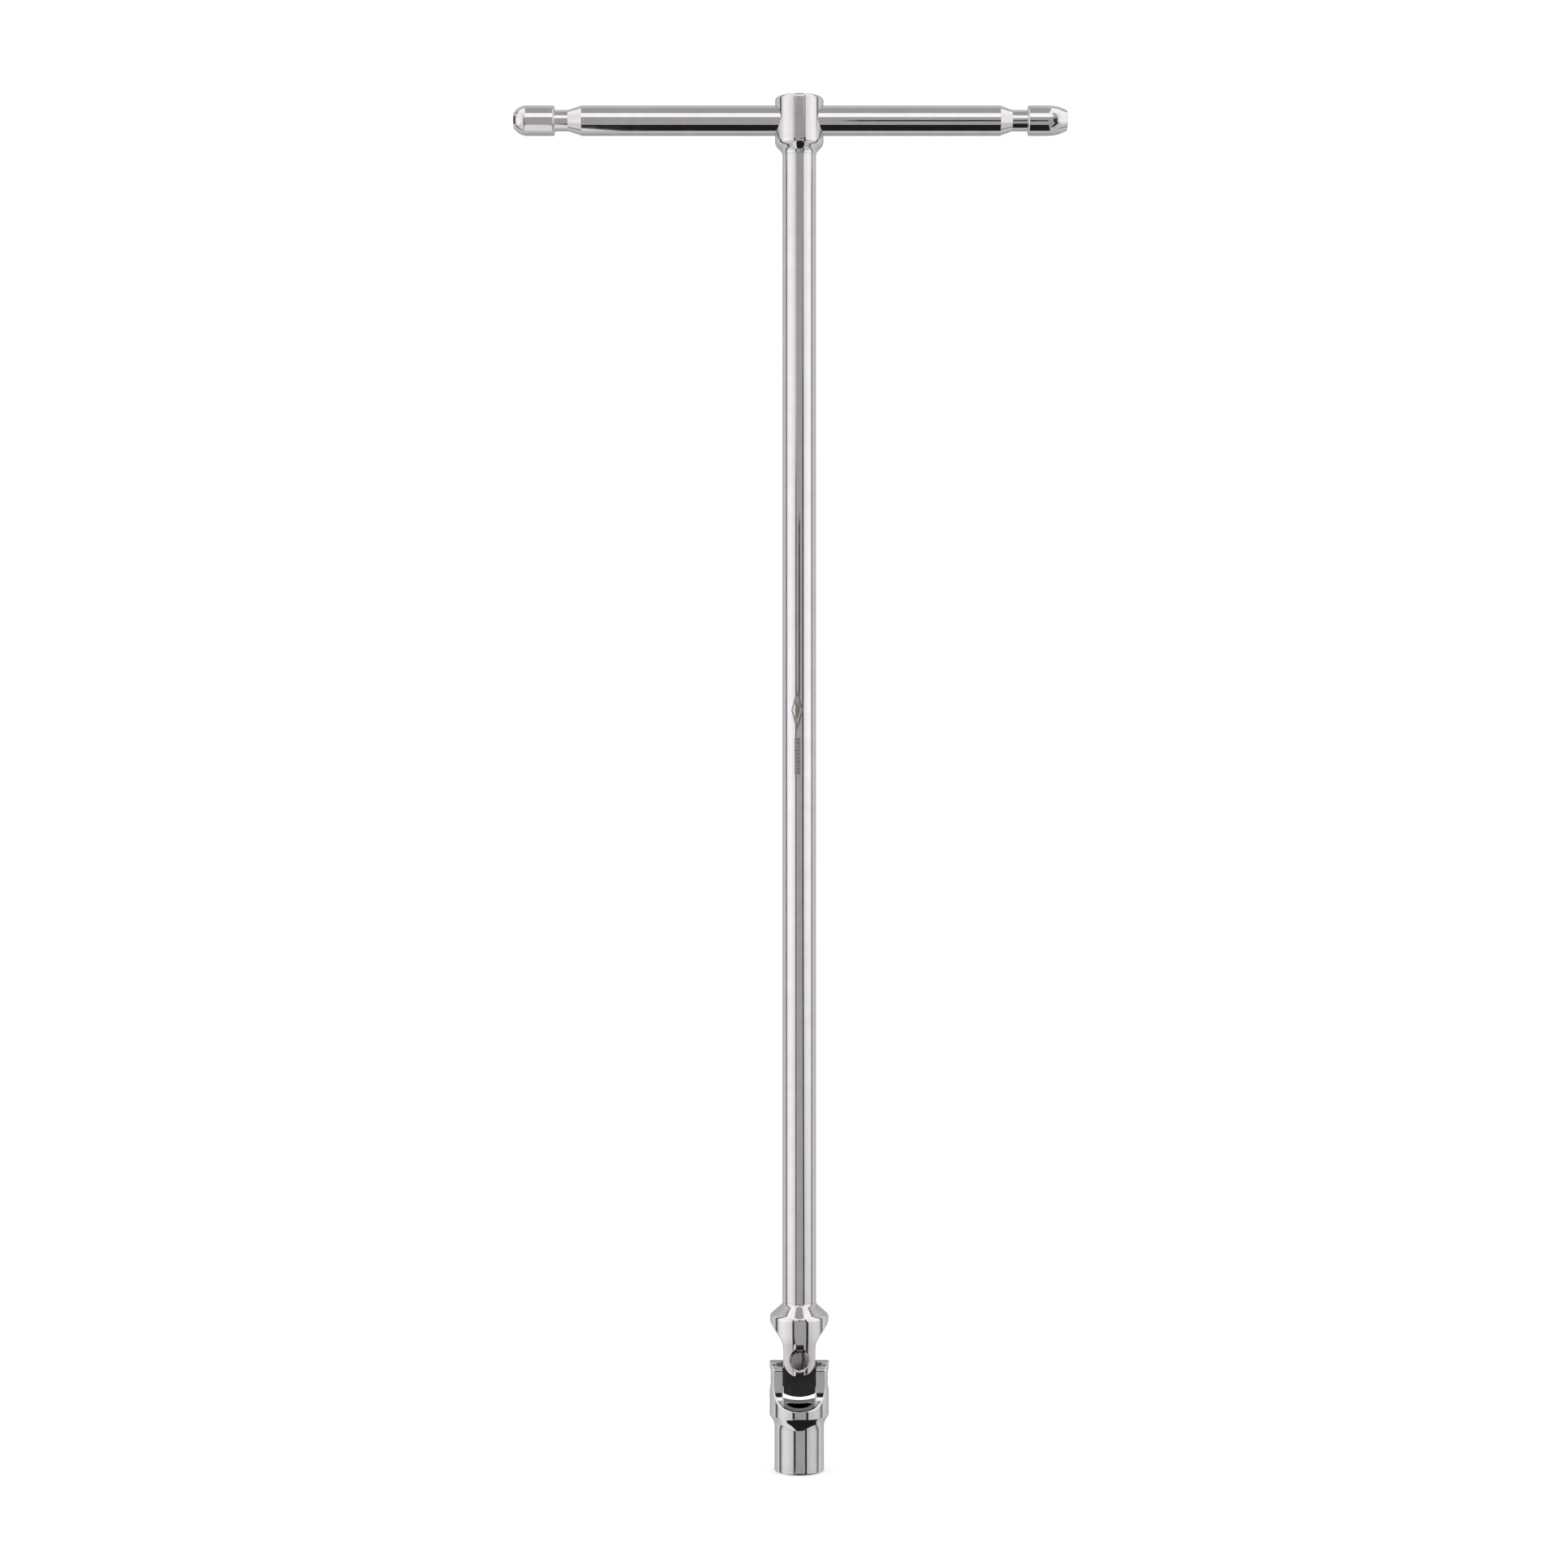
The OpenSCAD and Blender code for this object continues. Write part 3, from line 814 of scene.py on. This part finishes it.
def reflected_only(thing):
    """A stage object that shows in reflections and nowhere else."""
    thing.visible_camera = False
    thing.visible_diffuse = False
    thing.visible_shadow = False
    return thing


def curved_panel(name, turn, z_range, radius, by_height, by_turn=None, lean=0):
    """A panel that stands round the object between two azimuths, 0 being towards the camera.

    Its foot stands lean degrees further on than its top.
    """
    columns = 32
    verts, faces = [], []
    for i in range(columns + 1):
        top_angle = turn[0] + (turn[1] - turn[0]) * i / columns
        for z, degrees in zip(z_range, (top_angle + lean, top_angle)):
            angle = math.radians(degrees)
            verts.append((radius * math.sin(angle), -radius * math.cos(angle), z))
    for i in range(columns):
        faces.append((2 * i, 2 * i + 2, 2 * i + 3, 2 * i + 1))
    made = mesh_object(name, verts, faces)
    made.data.materials.append(glow(name, by_height, by_turn))
    return reflected_only(made)


def flat_panel(name, corners, radiance):
    """A panel through four corners, with the same light all over."""
    made = mesh_object(name, corners, [(0, 1, 2, 3)])
    made.data.materials.append(glow(name, [(0, radiance)]))
    return reflected_only(made)


def level_panel(name, x_range, y_range, z, radiance):
    """A level rectangle of light at height z."""
    (x0, x1), (y0, y1) = x_range, y_range
    return flat_panel(name, [(x0, y0, z), (x1, y0, z), (x1, y1, z), (x0, y1, z)], radiance)


def tent(radiance):
    """A grey light tent all round, which gives the chrome its middle tone."""
    sides, rings, radius = 64, 32, 4.0
    verts, faces = [], []
    for j in range(rings + 1):
        tilt = math.pi * j / rings
        for i in range(sides):
            angle = math.tau * i / sides
            flat = math.sin(tilt) * radius
            verts.append((math.cos(angle) * flat, math.sin(angle) * flat, math.cos(tilt) * radius))
    for j in range(rings):
        for i in range(sides):
            a, b = j * sides + i, j * sides + (i + 1) % sides
            faces.append((a, a + sides, b + sides, b))
    made = mesh_object("tent", verts, faces)
    made.data.materials.append(glow("tent", [(0, radiance)]))
    return reflected_only(made)


def soft_boxes():
    """Two tall soft boxes beside the camera, a wall behind the object, and flags along their edges."""
    box_r, flag_r, wall_r, card_r = 1.2, 1.15, 1.3, 1.25
    left_light = [(-0.32, 1.0), (-0.13, 1.32), (0.2, 1.5), (0.7, 1.36)]
    right_light = [(-0.3, 0.84), (-0.13, 1.08), (0.0, 1.26), (0.25, 1.46), (0.7, 1.4)]
    across = [(31, 0.8), (62, 1.0), (72, 1.0), (82, 0.92), (92, 0.7)]
    rear_fall = [(102, 0.95), (120, 0.84), (140, 0.66), (180, 0.48)]
    curved_panel("left_soft_box", (-94, -28), TALL, box_r, left_light, across)
    curved_panel("right_soft_box", (30, 91), TALL, box_r, right_light, across)
    curved_panel("rear_wall", (101, 257), TALL, wall_r, [(0, 1.0)], rear_fall)
    curved_panel("rear_card", (169, 191), (0.15, 0.45), card_r, [(0, 0.2)])
    curved_panel("left_edge_flag", (-106, -93), TALL, flag_r, [(0, 0.17)])
    curved_panel("right_edge_flag", (90, 103), TALL, flag_r, [(0, 0.3)])


def front_gap():
    """The grey gap round the camera, with a dark flag down each side of it."""
    wall_r, flag_r, strip_r = 1.25, 1.1, 1.09
    faint = 0.03
    curved_panel("front_wall", (-30, 33), TALL, wall_r, [(0.55, 0.52), (0.68, 0.47)])
    left_turn = (-26, -20)
    curved_panel("left_flag", left_turn, TALL, flag_r, [(0.4, 0.1), (0.46, 0.8)])
    curved_panel("left_flag_foot", left_turn, (-0.4, -0.15), flag_r, [(0, faint)], lean=10)
    right_turn, lean = (21, 30), 5.5
    leaned_turn = (right_turn[0] + lean, right_turn[1] + lean)
    bend_z, foot_z = 0.12, -0.13
    fade = [(0.44, faint), (0.47, 0.1), (0.525, 0.26), (0.58, 0.36), (0.62, 0.48)]
    curved_panel("right_flag_high", right_turn, (bend_z, ROOF_Z), flag_r, fade)
    curved_panel("right_flag_bend", right_turn, (foot_z, bend_z), flag_r, [(0, faint)], lean=lean)
    curved_panel("right_flag_low", leaned_turn, (-ROOF_Z, foot_z), flag_r, [(0, faint)])
    curved_panel("right_strip", (21, 25), (0.66, ROOF_Z), strip_r, [(0, 0.8)])


def roof():
    """Light from above, with a grey gap in the middle and a soft box that leans over the camera."""
    gap_half, roof_half = 0.28, 1.3
    roof_near, horizon = -1.1, 0.25
    for side in (-1, 1):
        beside = (gap_half * side, roof_half * side)
        level_panel(f"roof_light_{side}", beside, (roof_near, horizon), ROOF_Z, 1.4)
        level_panel(f"roof_flag_{side}", beside, (horizon, horizon + 0.1), ROOF_Z, 0.17)
    level_panel("roof_gap", (-gap_half, gap_half), (roof_near, horizon - 0.15), ROOF_Z, 0.5)
    wide = 0.6
    near, far, low, high = -1.2, -1.0, 0.72, 1.45
    top_box = [(-wide, near, low), (wide, near, low), (wide, far, high), (-wide, far, high)]
    flat_panel("top_soft_box", top_box, 1.5)


def low_and_near():
    """A black card below the object, a light beside it, and dark shapes for the camera and its boom.

    The inner edges of the two dark shapes are the ones nearer to the object.
    """
    near, far, card_z = -0.6, 0.05, -0.147
    card = [(-0.14, near), (0.17, near), (0.17, far), (-0.085, far)]
    flat_panel("low_card", [(x, y, card_z) for x, y in card], BLACK)
    light = [(-0.21, near), (-0.142, near), (-0.087, far), (-0.21, far)]
    flat_panel("low_left_light", [(x, y, card_z) for x, y in light], 1.1)
    body_inner = [(-0.027, -0.38, 0.326), (0.027, -0.38, 0.326)]
    body_outer = [(0.048, -0.697, 0.253), (-0.048, -0.697, 0.253)]
    flat_panel("camera_body", body_inner + body_outer, BLACK)
    boom_inner = [(0.024, -0.378, 0.295), (0.115, -0.378, 0.295)]
    boom_outer = [(0.14, -0.691, 0.316), (0.029, -0.691, 0.316)]
    flat_panel("boom", boom_inner + boom_outer, BLACK)


def studio():
    """Light tent, soft boxes and black flags, as a shiny object needs to show its shape."""
    tent(0.72)
    soft_boxes()
    front_gap()
    roof()
    low_and_near()


def floor():
    """Plain pale floor, just bright enough to run into the white of the room."""
    half = 3.0
    corners = [(-half, -half, 0), (half, -half, 0), (half, half, 0), (-half, half, 0)]
    made = mesh_object("floor", corners, [(0, 1, 2, 3)])
    material, tree, shader, place = new_material("pale_floor")
    grain = noise(tree, place, 40, 3)
    colour = blend_colour(tree, grain, (0.62, 0.62, 0.62), (0.64, 0.64, 0.64))
    tree.links.new(colour, shader.inputs["Base Color"])
    shader.inputs["Emission Color"].default_value = (1, 1, 1, 1)
    shader.inputs["Emission Strength"].default_value = 0.36
    shader.inputs["Roughness"].default_value = 0.9
    shader.inputs["Specular IOR Level"].default_value = 0.0
    made.data.materials.append(material)
    made.visible_glossy = False


def room():
    """White all round, for the camera and for soft shadows."""
    world = bpy.data.worlds.new("white_room")
    world.use_nodes = True
    world.node_tree.nodes["Background"].inputs["Color"].default_value = (1, 1, 1, 1)
    world.node_tree.nodes["Background"].inputs["Strength"].default_value = 1.25
    bpy.context.scene.world = world
    bpy.context.scene.view_settings.view_transform = "Standard"


def camera():
    """Level view along +Y at half the object's height."""
    low, high = CAD_BOX
    made = bpy.data.objects.new("camera", bpy.data.cameras.new("camera"))
    made.location = (-4.68 * MM, -0.9, high.z / 2)
    made.rotation_euler = (math.radians(90), 0, 0)
    made.data.sensor_width = 36
    made.data.lens = 67.3
    bpy.context.scene.collection.objects.link(made)
    bpy.context.scene.camera = made


camera()
room()
studio()
floor()
crossbar()
shank()
head()
upper_fork()
lower_fork()
joint_block()
joint_pin("upper_fork_pin", "yoke_pin", "handle", (0, 1, 0), UPPER_PIN_Z)
joint_pin("lower_fork_pin", "socket_pin", "driver", (1, 0, 0), LOWER_PIN_Z)
spring()
detent_ball()
